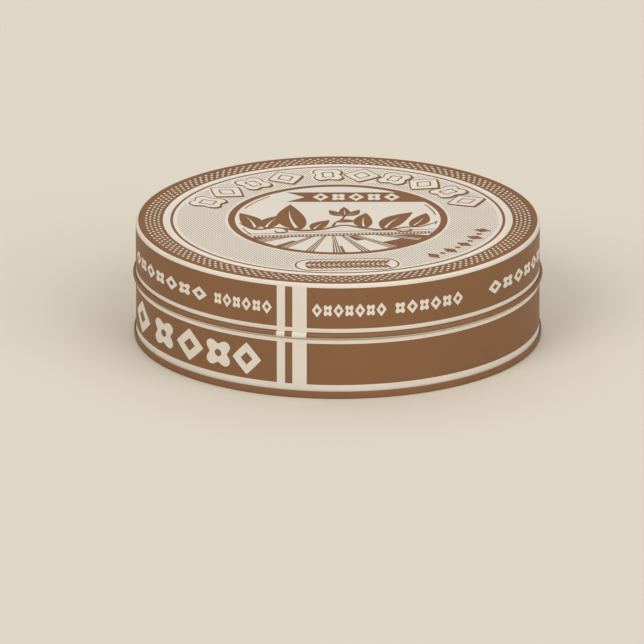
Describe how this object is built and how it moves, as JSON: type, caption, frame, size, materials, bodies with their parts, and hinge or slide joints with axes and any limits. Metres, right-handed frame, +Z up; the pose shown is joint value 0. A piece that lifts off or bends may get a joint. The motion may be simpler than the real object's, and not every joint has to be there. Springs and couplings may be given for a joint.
{
  "type": "shoe polish tin",
  "caption": "Round shoe polish tin with a lift-off lid over a necked base, a twist key on the side to open it, and a cake of brown wax polish inside.",
  "frame": {"origin": "centre of the tin's bottom, on the surface that it stands on", "axes": "+Z up along the tin's axis, out of the lid; the twist key is at the back right, halfway between +X and +Y"},
  "size_m": [0.086, 0.086, 0.025],
  "materials": {
    "enamel": "satin",
    "polish": "satin",
    "steel": "satin"
  },
  "bodies": {
    "base": {"base_wall": "enamel", "base_bottom": "enamel", "polish_cake": "polish", "key_rivet": "steel"},
    "lid": {"lid": "enamel"},
    "key": {"opener_key": "steel"}
  },
  "joints": [
    {"name": "lid_lift", "type": "slide", "parent": "base", "child": "lid", "axis": [0, 0, 1], "range_m": [0, 0.04]},
    {"name": "key_turn", "type": "hinge", "parent": "base", "child": "key", "pos_m": [0.02998, 0.02998, 0.008], "axis": [0.7071, 0.7071, 0], "continuous": true}
  ]
}
